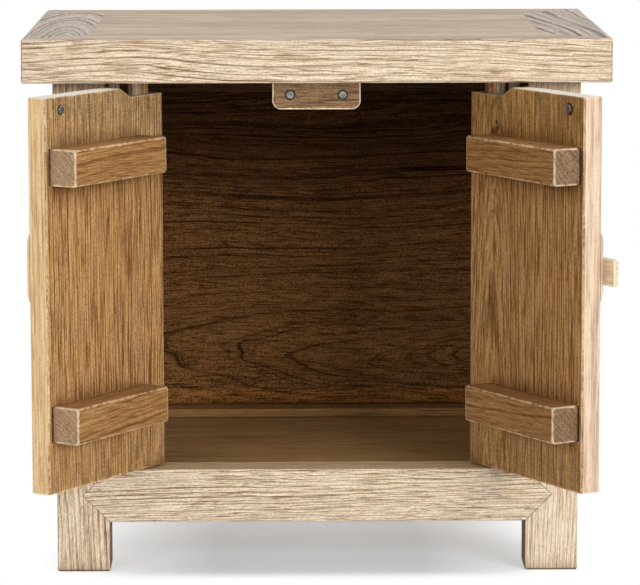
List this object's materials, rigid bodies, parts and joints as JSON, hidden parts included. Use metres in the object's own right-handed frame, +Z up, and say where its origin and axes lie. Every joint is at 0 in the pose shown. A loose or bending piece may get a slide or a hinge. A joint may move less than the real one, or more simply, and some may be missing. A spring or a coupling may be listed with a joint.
{
  "type": "kang cabinet",
  "caption": "Low elm cupboard with a thick mitred top, square legs and paired doors on wooden pins, battened inside and held shut by magnets.",
  "frame": {"origin": "the middle of the whole part's box, on the floor, with the doors open as pictured", "axes": "+X to the right along the top's length, +Y from the doors to the back, +Z up"},
  "size_m": [0.66, 0.6267, 0.611],
  "materials": {
    "top_wood": "weathered, waxed, greyish",
    "frame_wood": "weathered, waxed, pale",
    "door_wood": "waxed, honey brown",
    "batten_wood": "waxed, honey brown",
    "inner_wood": "waxed, dark brown",
    "catch_wood": "waxed, pinkish brown",
    "steel": "satin",
    "magnet": "plated, satin"
  },
  "bodies": {
    "case": {"back_board_lower": "inner_wood", "back_board_upper": "inner_wood", "catch_block": "catch_wood", "catch_cups": "steel", "catch_magnets": "magnet", "catch_screws": "steel", "floor_batten": "inner_wood", "floor_board_1": "inner_wood", "floor_board_2": "inner_wood", "floor_board_3": "inner_wood", "leg_back_left": "frame_wood", "leg_back_right": "frame_wood", "leg_front_left": "frame_wood", "leg_front_right": "frame_wood", "panel_left": "frame_wood", "panel_right": "frame_wood", "rail_back_bottom": "frame_wood", "rail_back_top": "frame_wood", "rail_front_bottom": "frame_wood", "rail_left_bottom": "frame_wood", "rail_left_top": "frame_wood", "rail_right_bottom": "frame_wood", "rail_right_top": "frame_wood", "top_batten": "inner_wood", "top_member_back": "top_wood", "top_member_front": "top_wood", "top_member_left": "top_wood", "top_member_right": "top_wood", "top_panel": "top_wood"},
    "left_door": {"left_batten_lower": "batten_wood", "left_batten_upper": "batten_wood", "left_leaf": "door_wood", "left_plate": "door_wood", "left_stile": "door_wood", "left_strike_screw": "steel"},
    "right_door": {"right_bar_dowels": "batten_wood", "right_batten_lower": "batten_wood", "right_batten_upper": "batten_wood", "right_closing_bar": "door_wood", "right_leaf": "door_wood", "right_plate": "door_wood", "right_stile": "door_wood", "right_strike_screw": "steel"}
  },
  "joints": [
    {"name": "left_door_hinge", "type": "hinge", "parent": "case", "child": "left_door", "pos_m": [-0.2016, -0.12164, 0.339], "axis": [0, 0, 1], "range_deg": [-3, 122.4]},
    {"name": "right_door_hinge", "type": "hinge", "parent": "case", "child": "right_door", "pos_m": [0.2016, -0.12164, 0.339], "axis": [0, 0, -1], "range_deg": [-5, 120.1]}
  ]
}
